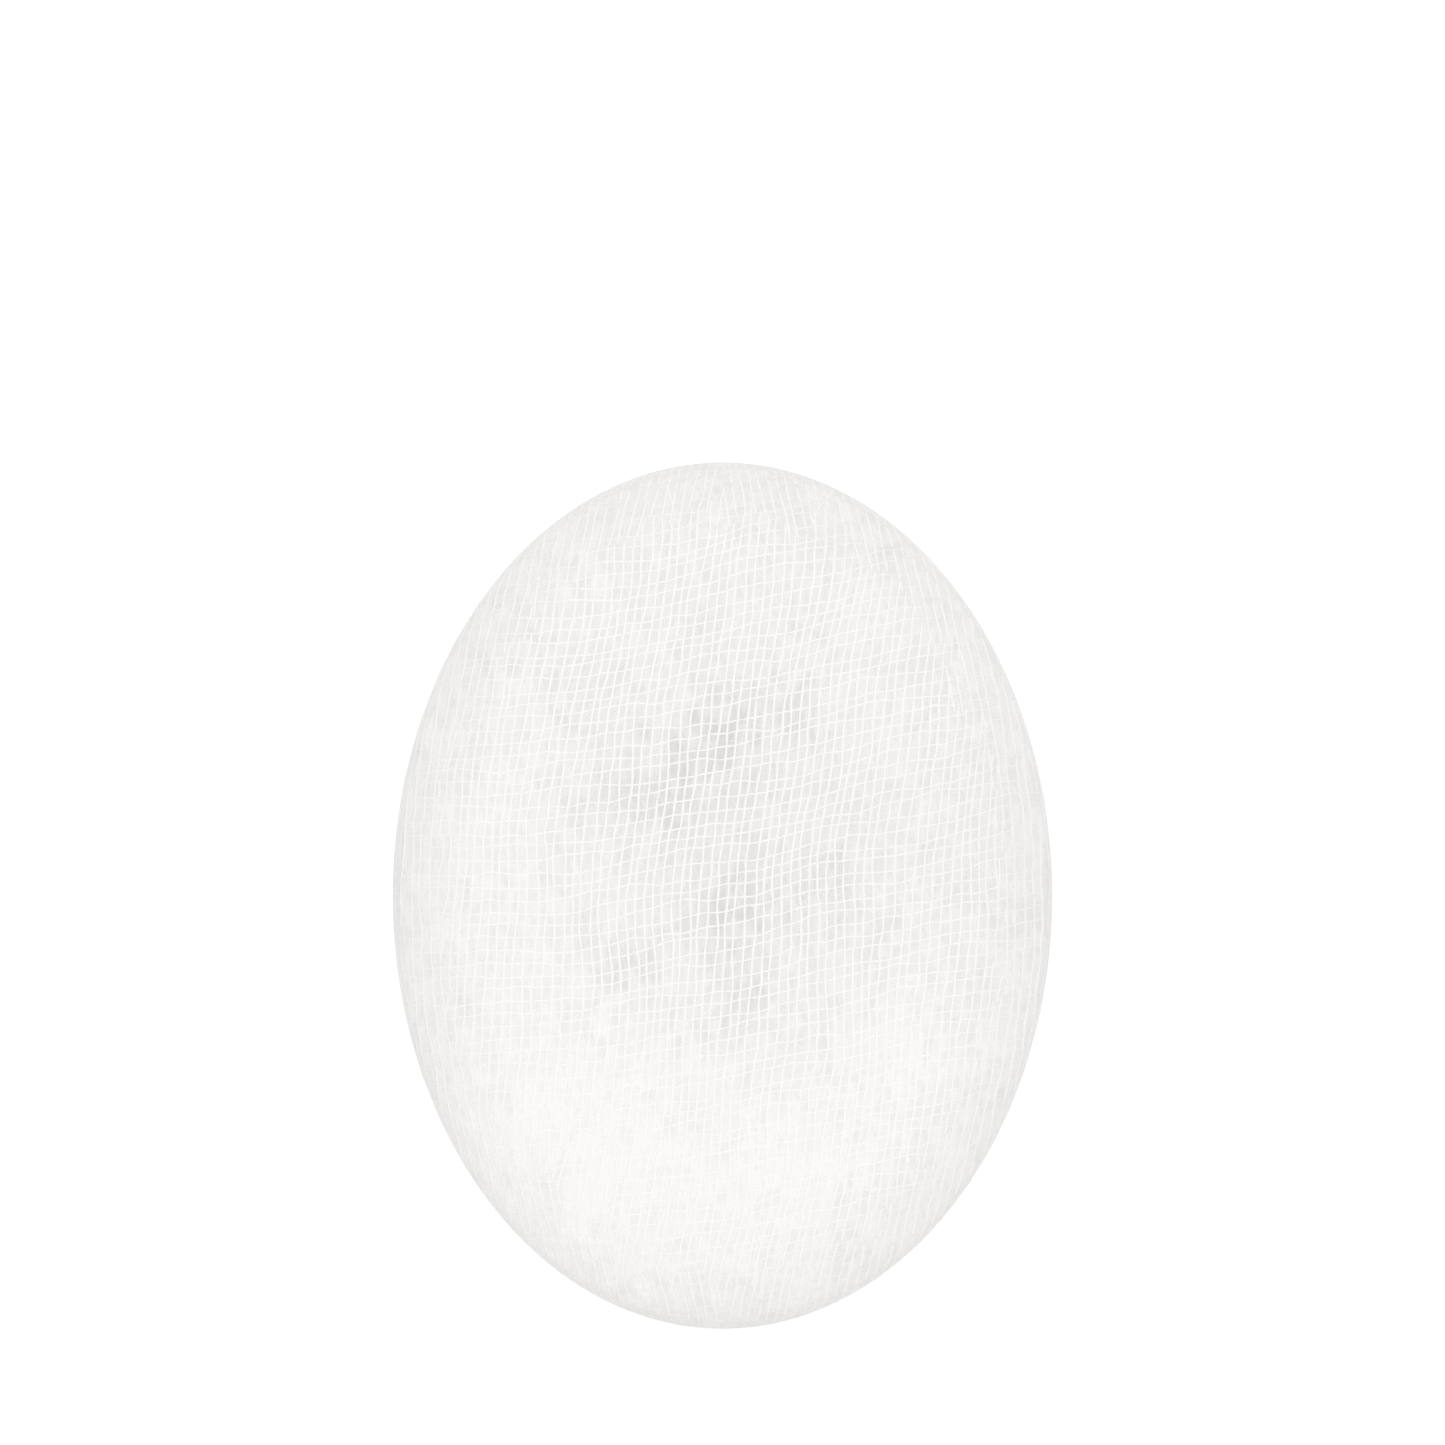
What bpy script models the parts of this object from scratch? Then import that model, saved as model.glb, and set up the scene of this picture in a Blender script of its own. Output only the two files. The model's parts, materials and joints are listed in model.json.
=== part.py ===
"""An oval eye pad: cotton wool between a front and a back face of open gauze.

The pad lies on its back, with its front face up (+Z) and its length along Y.
The origin is the middle of the resting face. All sizes are in metres.
"""

import math

import bmesh
import bpy

# The whole pad
PAD_WIDTH = 0.0510
PAD_LENGTH = 0.0670
FRONT_RISE = 0.0045  # from the cut edge up to the middle of the front face
BACK_DROP = 0.0027  # from the cut edge down to the resting face
FRONT_CROWN = 0.0008  # how much of the rise is a gentle dome
FRONT_SHOULDER = 0.0046  # width of the round edge, seen from above
BACK_SHOULDER = 0.0042

# The layers
GAUZE_WALL = 0.0004
LAYER_GAP = 0.0003  # between the gauze and the cotton wool
EDGE_GAP = 0.0003  # between the cut edges of the two faces
EDGE_LIP = 0.0003  # upright part of each face beside its cut edge

# The weave: its true threads are too many for a solid, so one ridge stands for a few of them
WARP_PITCH = 0.000714  # 14 warp threads to the centimetre, across the width
WEFT_PITCH = 0.001000  # 10 weft threads to the centimetre, along the length
THREADS_PER_RIDGE = 5
RIDGE_WIDTH = 0.0013
RIDGE_HEIGHT = 0.00030
UNDER_SHARE = 0.35  # of a ridge's height, where it passes under another
WARP_LEAN = math.radians(4.0)  # the warp leans to the right going up the photograph
WEFT_RISE = math.radians(6.0)  # the weft rises to the right
BORDER = 0.0026  # width of the border that has ridges and no gaps

# How finely the surfaces are made
OVAL_SIDES = 44
BORDER_STEPS = 4
WOOL_SEGMENTS = 48
WOOL_RINGS = 20
SHORTEST_EDGE = 0.00025

# What each point of a gauze mesh carries while it is made
RIDGE_LAYER = "share of a ridge's height"
TURN_LAYER = "turn round the edge where the border begins"

# Finish
GAUZE_COLOUR = (0.96, 0.95, 0.93, 1.0)
WOOL_COLOUR = (0.86, 0.85, 0.83, 1.0)
SOFT_ROUGHNESS = 0.95


def clear_scene():
    """Remove every object of the scene that is open."""
    for thing in list(bpy.data.objects):
        bpy.data.objects.remove(thing)


def soft_material(name, colour):
    """A matt material of one colour."""
    material = bpy.data.materials.new(name)
    material.use_nodes = True
    shader = material.node_tree.nodes["Principled BSDF"]
    shader.inputs["Base Color"].default_value = colour
    shader.inputs["Roughness"].default_value = SOFT_ROUGHNESS
    shader.inputs["Metallic"].default_value = 0.0
    return material


def oval_reach(direction, inset):
    """Distance from the pad's middle to its edge in one direction, less an inset all round."""
    across = math.cos(direction) / (PAD_WIDTH / 2 - inset)
    along = math.sin(direction) / (PAD_LENGTH / 2 - inset)
    return 1 / math.hypot(across, along)


class Face:
    """The shape of one side of the pad, as a height away from the level of the cut edge."""

    def __init__(self, rise, crown, shoulder, side):
        self.rise = rise
        self.crown = crown
        self.shoulder = shoulder
        self.side = side  # 1 for the front, -1 for the back

    def past_shoulder(self, direction, away, inset):
        """How far across the round edge a point is: 0 where it begins, 1 at the outermost line."""
        begins = oval_reach(direction, self.shoulder)
        edge = oval_reach(direction, inset)
        return max(0.0, min(1.0, (away - begins) / (edge - begins)))

    def away_at(self, direction, past, inset):
        """The distance from the middle at which past_shoulder gives this value."""
        begins = oval_reach(direction, self.shoulder)
        edge = oval_reach(direction, inset)
        return begins + past * (edge - begins)

    def level(self, direction, away, inset):
        """The height that the face would have with no round edge."""
        share = away / oval_reach(direction, inset)
        return self.rise - inset - self.crown * share**2

    def height(self, x, y, inset=0.0):
        """The height of the face at a point of the plan, an inset below the outer surface."""
        direction = math.atan2(y, x)
        away = math.hypot(x, y)
        past = self.past_shoulder(direction, away, inset)
        lip = EDGE_GAP / 2 + EDGE_LIP
        return lip + (self.level(direction, away, inset) - lip) * math.sqrt(1 - past**2)

    def z(self, height):
        """The place above the resting face of a height on this side of the cut edge."""
        return BACK_DROP + self.side * height


FRONT = Face(FRONT_RISE, FRONT_CROWN, FRONT_SHOULDER, 1)
BACK = Face(BACK_DROP, 0.0, BACK_SHOULDER, -1)


def line_places(pitch, reach, with_middles):
    """Where the grid lines go: both feet of each ridge, and its middle line between them.

    Returns (place, ridge) pairs, where ridge counts the ridges and is None on a foot.
    """
    foot = RIDGE_WIDTH / 2
    ridges = math.ceil(reach / pitch) + 1
    places = []
    for ridge in range(-ridges, ridges + 1):
        middle = ridge * pitch
        places.append((middle - foot, None))
        if with_middles:
            places.append((middle, ridge))
        places.append((middle + foot, None))
    return places


def ridge_share(column, row):
    """How high the middle line of a ridge stands at a grid point, over and under by turns."""
    warp, warp_number = column
    weft, weft_number = row
    if warp_number is not None and weft_number is not None:
        return 1.0
    if warp_number is not None:
        nearest = round(weft / (THREADS_PER_RIDGE * WEFT_PITCH))
        over = (warp_number + nearest) % 2 == 0
        return 1.0 if over else UNDER_SHARE
    if weft_number is not None:
        nearest = round(warp / (THREADS_PER_RIDGE * WARP_PITCH))
        over = (weft_number + nearest) % 2 == 1
        return 1.0 if over else UNDER_SHARE
    return 0.0


def woven_grid(mesh, ridged):
    """A level grid with the weave's spacing and lean, wider than the pad."""
    warp_pitch = THREADS_PER_RIDGE * WARP_PITCH
    weft_pitch = THREADS_PER_RIDGE * WEFT_PITCH
    columns = line_places(warp_pitch, PAD_WIDTH / 2, ridged)
    rows = line_places(weft_pitch, PAD_LENGTH / 2, ridged)
    lift = mesh.verts.layers.float[RIDGE_LAYER]
    grid = bmesh.ops.create_grid(
        mesh, x_segments=len(columns) - 1, y_segments=len(rows) - 1, size=1.0
    )
    for vertex in grid["verts"]:
        column = columns[round((vertex.co.x + 1) / 2 * (len(columns) - 1))]
        row = rows[round((vertex.co.y + 1) / 2 * (len(rows) - 1))]
        vertex.co.x = column[0] + row[0] * math.tan(WARP_LEAN)
        vertex.co.y = row[0] + column[0] * math.tan(WEFT_RISE)
        if ridged:
            vertex[lift] = ridge_share(column, row)


def cut_to_oval(mesh, inset):
    """Trim a level mesh to the pad's oval, less an inset, with one straight cut for each side."""
    half_width = PAD_WIDTH / 2 - inset
    half_length = PAD_LENGTH / 2 - inset
    for side in range(OVAL_SIDES):
        angle = 2 * math.pi * (side + 0.5) / OVAL_SIDES
        outward = (math.cos(angle) * half_length, math.sin(angle) * half_width, 0.0)
        touch = (math.cos(angle) * half_width, math.sin(angle) * half_length, 0.0)
        everything = mesh.verts[:] + mesh.edges[:] + mesh.faces[:]
        bmesh.ops.bisect_plane(
            mesh, geom=everything, plane_co=touch, plane_no=outward, clear_outer=True
        )


def open_gaps(mesh):
    """Remove the whole cells between the ridges that lie inside the border."""
    wide = THREADS_PER_RIDGE * WARP_PITCH - RIDGE_WIDTH
    long = THREADS_PER_RIDGE * WEFT_PITCH - RIDGE_WIDTH
    lean = 1 - math.tan(WARP_LEAN) * math.tan(WEFT_RISE)
    whole_cell = wide * long * lean
    nearly = 0.99
    gaps = [face for face in mesh.faces if face.calc_area() > nearly * whole_cell]
    for face in list(gaps):
        if any(edge.is_boundary for vertex in face.verts for edge in vertex.link_edges):
            gaps.remove(face)
    bmesh.ops.delete(mesh, geom=gaps, context="FACES_ONLY")


def next_ring(mesh, rim):
    """Draw the outline's edges out into a ring of faces, and return its new outline."""
    ring = bmesh.ops.extrude_edge_only(mesh, edges=rim)["geom"]
    return [item for item in ring if isinstance(item, bmesh.types.BMEdge) and item.is_boundary]


def add_border(mesh, rim, face):
    """Carry the outline outward and round the edge of the pad, and return where it ends."""
    lift = mesh.verts.layers.float[RIDGE_LAYER]
    start = mesh.verts.layers.float[TURN_LAYER]
    for vertex in {vertex for edge in rim for vertex in edge.verts}:
        direction = math.atan2(vertex.co.y, vertex.co.x)
        away = math.hypot(vertex.co.x, vertex.co.y)
        vertex[start] = math.asin(face.past_shoulder(direction, away, 0.0))
    upright = math.pi / 2
    for step in range(1, BORDER_STEPS + 1):
        rim = next_ring(mesh, rim)
        for vertex in {vertex for edge in rim for vertex in edge.verts}:
            direction = math.atan2(vertex.co.y, vertex.co.x)
            turn = vertex[start] + (upright - vertex[start]) * step / BORDER_STEPS
            away = face.away_at(direction, math.sin(turn), 0.0)
            vertex.co.x = away * math.cos(direction)
            vertex.co.y = away * math.sin(direction)
            vertex[lift] *= math.cos(turn)
    return rim


def add_lip(mesh, rim, face):
    """Draw the outline straight down to the cut edge."""
    for vertex in {vertex for edge in next_ring(mesh, rim) for vertex in edge.verts}:
        vertex.co.z = face.z(EDGE_GAP / 2)


def gauze(name, face, ridged, material):
    """One face of gauze: a wall of ridges and gaps that follows the pad's round edge."""
    mesh = bmesh.new()
    mesh.verts.layers.float.new(RIDGE_LAYER)
    mesh.verts.layers.float.new(TURN_LAYER)
    lift = mesh.verts.layers.float[RIDGE_LAYER]
    woven_grid(mesh, ridged)
    cut_to_oval(mesh, BORDER)
    bmesh.ops.remove_doubles(mesh, verts=mesh.verts, dist=SHORTEST_EDGE)
    rim = [edge for edge in mesh.edges if edge.is_boundary]
    open_gaps(mesh)
    rim = add_border(mesh, rim, face)
    for vertex in mesh.verts:
        vertex.co.z = face.z(face.height(vertex.co.x, vertex.co.y))
    add_lip(mesh, rim, face)
    if face.side < 0:
        bmesh.ops.reverse_faces(mesh, faces=mesh.faces)
    mesh.normal_update()
    raised = [(vertex, vertex.normal * (vertex[lift] * RIDGE_HEIGHT)) for vertex in mesh.verts]
    for vertex, move in raised:
        vertex.co += move
    thing = finished(name, mesh, material)
    wall = thing.modifiers.new("Wall", "SOLIDIFY")
    wall.thickness = GAUZE_WALL
    wall.offset = -1.0
    return thing


def cotton_wool(name, material):
    """The filling: a round-edged oval cushion that keeps clear of both faces."""
    inset = GAUZE_WALL + LAYER_GAP
    mesh = bmesh.new()
    bmesh.ops.create_uvsphere(
        mesh, u_segments=WOOL_SEGMENTS, v_segments=WOOL_RINGS, radius=1.0
    )
    for vertex in mesh.verts:
        face = FRONT if vertex.co.z > 0 else BACK
        vertex.co.x *= PAD_WIDTH / 2 - inset
        vertex.co.y *= PAD_LENGTH / 2 - inset
        vertex.co.z = face.z(face.height(vertex.co.x, vertex.co.y, inset))
    return finished(name, mesh, material)


def finished(name, mesh, material):
    """An object made from a finished mesh, shaded smooth."""
    data = bpy.data.meshes.new(name)
    mesh.to_mesh(data)
    mesh.free()
    data.shade_smooth()
    data.materials.append(material)
    thing = bpy.data.objects.new(name, data)
    bpy.context.scene.collection.objects.link(thing)
    return thing


def build():
    """Make the three pieces of the pad."""
    clear_scene()
    gauze_finish = soft_material("bleached cotton gauze", GAUZE_COLOUR)
    wool_finish = soft_material("bleached cotton wool", WOOL_COLOUR)
    gauze("front_gauze", FRONT, True, gauze_finish)
    cotton_wool("cotton_wool", wool_finish)
    gauze("back_gauze", BACK, False, gauze_finish)


build()
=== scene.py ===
"""An oval eye pad: cotton wool between a front and a back face of open woven gauze.

The pad lies on its back on a white floor. +Z is up through its front face, +Y runs along its
length, and the origin is the middle of the resting face. All sizes are in metres.
"""

import json
import logging
import math
import random
from bisect import bisect_left
from dataclasses import dataclass, field
from enum import Enum
from functools import cached_property

import bmesh
import bpy
from mathutils import Matrix, Vector, noise
from mathutils.bvhtree import BVHTree

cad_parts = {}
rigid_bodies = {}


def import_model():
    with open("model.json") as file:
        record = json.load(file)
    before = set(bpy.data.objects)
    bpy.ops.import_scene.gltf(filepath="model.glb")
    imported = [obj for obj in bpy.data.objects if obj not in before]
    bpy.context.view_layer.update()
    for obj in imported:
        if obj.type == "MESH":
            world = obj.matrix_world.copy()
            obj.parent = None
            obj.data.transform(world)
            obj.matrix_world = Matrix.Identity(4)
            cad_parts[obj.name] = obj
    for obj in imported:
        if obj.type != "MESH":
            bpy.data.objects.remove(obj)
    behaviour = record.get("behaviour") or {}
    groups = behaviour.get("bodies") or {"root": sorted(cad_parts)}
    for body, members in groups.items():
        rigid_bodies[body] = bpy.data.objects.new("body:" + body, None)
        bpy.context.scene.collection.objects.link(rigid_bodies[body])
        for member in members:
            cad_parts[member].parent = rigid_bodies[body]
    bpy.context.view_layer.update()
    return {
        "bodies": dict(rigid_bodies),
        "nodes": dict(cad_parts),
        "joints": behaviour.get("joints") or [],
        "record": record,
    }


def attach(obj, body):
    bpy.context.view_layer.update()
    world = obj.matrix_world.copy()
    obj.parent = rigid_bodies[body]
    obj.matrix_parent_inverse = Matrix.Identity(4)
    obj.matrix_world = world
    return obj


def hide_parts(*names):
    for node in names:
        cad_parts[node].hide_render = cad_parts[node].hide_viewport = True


LOG = logging.getLogger("eye_pad")
MM = 0.001
SAME_PLACE = 1e-8  # metres between two points that are one, at a thread's closed ends

Colour = tuple[float, float, float, float]
Path = list[tuple[Vector, float]]  # the points of one thread, each with the thread's radius there


class Side(Enum):
    """The two faces of the pad, with the direction in which each one rises."""

    FRONT = 1
    BACK = -1

    @property
    def other(self) -> "Side":
        """The face on the far side of the cut edge."""
        return Side(-self.value)


class Run(Enum):
    """The ways that a thread runs in the gauze."""

    WARP = "along the pad"
    WEFT = "across the pad"
    BORDER_WARP = "along the pad, in the border that is drawn round the edge"


class Uneven(Enum):
    """What is uneven in the gauze, each with a place of its own in the noise."""

    QUICK_BENDS = 0.0
    SHARED_ACROSS = 0.5
    SHARED_ALONG = 7.5
    BORDER_WIDTH = 19.5
    SLOW_BENDS = 31.0
    SPACING = 57.0
    SLUBS = 83.0


NOISE_SHIFTS = {Side.FRONT: 0.0, Side.BACK: 211.0}  # so that the two faces of gauze differ


def linear(hex_colour: str) -> Colour:
    """Turn an sRGB colour into the linear values that a shader takes.

    Args:
        hex_colour: Six hex digits, such as "F4F2EF".

    Returns:
        Red, green, blue, and an alpha of 1.
    """
    channels = [int(hex_colour[place:place + 2], 16) / 255 for place in (0, 2, 4)]
    flat = [c / 12.92 if c <= 0.04045 else ((c + 0.055) / 1.055) ** 2.4 for c in channels]
    return (flat[0], flat[1], flat[2], 1.0)


def add_node(
    tree: bpy.types.NodeTree,
    kind: str,
    links: dict[int | str, bpy.types.NodeSocket] | None = None,
    values: dict[int | str, object] | None = None,
    **settings: object,
) -> bpy.types.Node:
    """Add one node to a material or world, set it up and connect it.

    Args:
        tree: The node tree that gets the node.
        kind: The node's type.
        links: For each input, by name or number, the output that feeds it.
        values: For each input, by name or number, its constant value.
        **settings: The node's own settings.

    Returns:
        The new node.
    """
    node = tree.nodes.new(kind)
    for name, setting in settings.items():
        setattr(node, name, setting)
    for place, value in (values or {}).items():
        node.inputs[place].default_value = value
    for place, output in (links or {}).items():
        tree.links.new(output, node.inputs[place])
    return node


def empty_material(name: str) -> bpy.types.Material:
    """Start a material with no nodes.

    Args:
        name: What the finish is called.

    Returns:
        The material, whose node tree is still empty.
    """
    material = bpy.data.materials.new(name)
    material.use_nodes = True
    material.node_tree.nodes.clear()
    return material


def waver(*place: float) -> float:
    """Smooth noise of up to about 0.5 either way, with one bump in each unit of its place."""
    return noise.noise(Vector(place))


def smooth_step(value: float) -> float:
    """Rise smoothly from 0 to 1 as the value does."""
    held = min(1.0, max(0.0, value))
    return held * held * (3 - 2 * held)


@dataclass(frozen=True)
class Grain:
    """One pattern of soft noise in a finish, at its real size."""

    size: float
    detail: float
    roughness: float = 0.5
    distortion: float = 0.0

    def inputs(self) -> dict[str, float]:
        """The pattern's values, by the names of a noise texture's inputs."""
        return {
            "Scale": 1 / self.size,
            "Detail": self.detail,
            "Roughness": self.roughness,
            "Distortion": self.distortion,
        }


@dataclass(frozen=True)
class CottonFinish:
    """Bleached cotton: short fibres that scatter light, so it is matt with a soft sheen."""

    name: str
    roughness: float
    sheen: float
    relief: float
    ior: float = 1.53

    def coat(
        self,
        tree: bpy.types.NodeTree,
        colour: bpy.types.NodeSocket,
        height: bpy.types.NodeSocket,
    ) -> None:
        """Complete a material with the surface that all bleached cotton has.

        Args:
            tree: The material's node tree.
            colour: The output that gives the cotton's colour.
            height: The output that gives its fine relief.
        """
        bump = add_node(
            tree, "ShaderNodeBump", {"Height": height},
            {"Distance": self.relief, "Strength": 1.0},
        )
        shader = add_node(
            tree, "ShaderNodeBsdfPrincipled",
            {"Base Color": colour, "Normal": bump.outputs["Normal"]},
            {"Roughness": self.roughness, "IOR": self.ior, "Sheen Weight": self.sheen},
        )
        add_node(tree, "ShaderNodeOutputMaterial", {"Surface": shader.outputs["BSDF"]})


@dataclass(frozen=True)
class CottonYarn(CottonFinish):
    """Bleached cotton yarn, carded and loosely spun: nearly white, with a faint warm tint."""

    name: str = "bleached_cotton_yarn"
    roughness: float = 0.9
    sheen: float = 0.1
    relief: float = 0.004 * MM
    pale: str = "FEFDFC"
    shade: str = "FBF9F8"
    rim_shade_and_dull: str = "F1EFED"  # painted shade near the cut edge, and a duller tone under the veil
    rim_shade_and_dull_name: str = "rim_shaded_and_dulled"
    slubs: Grain = Grain(size=2.2 * MM, detail=3.0, roughness=0.6)
    fibres: Grain = Grain(size=0.06 * MM, detail=1.0)  # real ones are 0.015 mm, too fine to show

    def material(self) -> bpy.types.Material:
        """Make the finish of the gauze.

        Returns:
            The material, which reads from an attribute of its mesh how much painted shade and
            duller tone the yarn takes on.
        """
        made = empty_material(self.name)
        tree = made.node_tree
        place = add_node(tree, "ShaderNodeTexCoord").outputs["Object"]
        slubs = add_node(tree, "ShaderNodeTexNoise", {"Vector": place}, self.slubs.inputs())
        fibres = add_node(tree, "ShaderNodeTexNoise", {"Vector": place}, self.fibres.inputs())
        spun = add_node(
            tree, "ShaderNodeMix", {0: slubs.outputs["Fac"]},
            {6: linear(self.pale), 7: linear(self.shade)}, data_type="RGBA",
        )
        rim_shaded_and_dulled = add_node(tree, "ShaderNodeAttribute", attribute_name=self.rim_shade_and_dull_name)
        # Mixes in painted shade near the cut edge and the duller tone of the veil
        colour = add_node(
            tree, "ShaderNodeMix", {0: rim_shaded_and_dulled.outputs["Fac"], 6: spun.outputs[2]},
            {7: linear(self.rim_shade_and_dull)}, data_type="RGBA",
        )
        self.coat(tree, colour.outputs[2], fibres.outputs["Fac"])
        return made


@dataclass(frozen=True)
class CottonWool(CottonFinish):
    """Bleached, carded cotton wool.

    It is a cloud of loose fibres: whiter where it is thick and greyer where it is thin, with
    soft tufts and curly streaks where the fibres lie together.
    """

    name: str = "bleached_cotton_wool"
    roughness: float = 1.0
    sheen: float = 0.15
    relief: float = 0.04 * MM
    # The thin and thick colours also give the painted light and shade that the thickness attribute
    # carries
    thick: str = "F9F8F7"
    thin: str = "D5D4D1"
    thickness_and_light_name: str = "wool_thickness_and_painted_light"
    tufts: Grain = Grain(size=1.3 * MM, detail=4.0, roughness=0.6, distortion=0.6)
    tuft_share: float = 0.44  # of the whole way from thin to thick
    streaks: Grain = Grain(size=0.26 * MM, detail=2.0, distortion=1.2)  # bundles of fine fibres
    streak_length: float = 6.5  # times its width
    streak_turn: float = math.radians(12)  # from the pad's length
    streak_share: float = 0.46

    def material(self) -> bpy.types.Material:
        """Make the finish of the filling.

        Returns:
            The material, which reads from an attribute of its mesh the wool's thickness, with
            painted light and shade in it.
        """
        made = empty_material(self.name)
        tree = made.node_tree
        place = add_node(tree, "ShaderNodeTexCoord").outputs["Object"]
        thickness = add_node(tree, "ShaderNodeAttribute", attribute_name=self.thickness_and_light_name)
        tufts = add_node(tree, "ShaderNodeTexNoise", {"Vector": place}, self.tufts.inputs())
        turn, squeeze = (0.0, 0.0, self.streak_turn), (1.0, 1 / self.streak_length, 1.0)
        combed = add_node(
            tree, "ShaderNodeMapping", {"Vector": place}, {"Rotation": turn, "Scale": squeeze}
        )
        streaks = add_node(
            tree, "ShaderNodeTexNoise", {"Vector": combed.outputs["Vector"]}, self.streaks.inputs()
        )
        height = thickness.outputs["Fac"]
        for pattern, weight in ((tufts, self.tuft_share), (streaks, self.streak_share)):
            raised = add_node(
                tree, "ShaderNodeMath", {0: pattern.outputs["Fac"], 2: height},
                {1: weight}, operation="MULTIPLY_ADD",
            )
            height = raised.outputs["Value"]
        middle = (self.tuft_share + self.streak_share) / 2
        share = add_node(
            tree, "ShaderNodeMath", {0: height}, {1: middle}, operation="SUBTRACT", use_clamp=True
        )
        colour = add_node(
            tree, "ShaderNodeMix", {0: share.outputs["Value"]},
            {6: linear(self.thin), 7: linear(self.thick)}, data_type="RGBA",
        )
        self.coat(tree, colour.outputs[2], height)
        return made


@dataclass(frozen=True)
class WhiteFloor:
    """A smooth white studio sweep, painted matt.

    The camera sees it as plain white, apart from the pad's soft shadow.
    """

    name: str = "white_studio_floor"
    colour: str = "F4F4F3"
    own_light: float = 0.82  # share of the white that the camera sees without any shadow
    shadow_light: float = 0.26  # share that the pad's shadow can take away

    def material(self) -> bpy.types.Material:
        """Make the finish of the floor.

        Returns:
            The material, which looks plain white to the camera and reflects light as paint does.
        """
        made = empty_material(self.name)
        tree = made.node_tree
        plain = add_node(tree, "ShaderNodeBsdfDiffuse", values={"Color": linear(self.colour)})
        grey = [self.shadow_light] * 3 + [1.0]
        dimmed = add_node(tree, "ShaderNodeBsdfDiffuse", values={"Color": grey})
        glow = add_node(tree, "ShaderNodeEmission", values={"Strength": self.own_light})
        seen = add_node(
            tree, "ShaderNodeAddShader", {0: dimmed.outputs["BSDF"], 1: glow.outputs["Emission"]}
        )
        chosen = add_node(
            tree, "ShaderNodeMixShader",
            {0: seen_directly(tree), 1: plain.outputs["BSDF"], 2: seen.outputs["Shader"]},
        )
        add_node(tree, "ShaderNodeOutputMaterial", {"Surface": chosen.outputs["Shader"]})
        return made


def seen_directly(tree: bpy.types.NodeTree) -> bpy.types.NodeSocket:
    """Tell the rays of the camera, of gloss and of glass from the rays that light the pad.

    Args:
        tree: The node tree of a material or of the world.

    Returns:
        An output that is 1 for a ray that shows the background, and 0 for any other.
    """
    path = add_node(tree, "ShaderNodeLightPath")
    shown = path.outputs["Is Camera Ray"]
    for kind in ("Is Glossy Ray", "Is Transmission Ray"):
        either = add_node(
            tree, "ShaderNodeMath", {0: shown, 1: path.outputs[kind]}, operation="MAXIMUM"
        )
        shown = either.outputs["Value"]
    return shown


@dataclass(frozen=True)
class FaceShape:
    """The shape of one face of the pad, as heights away from the level of the cut edge."""

    rise: float
    crown: float  # how much of the rise is a gentle dome
    shoulder: float  # width of the round edge, seen from above


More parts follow.
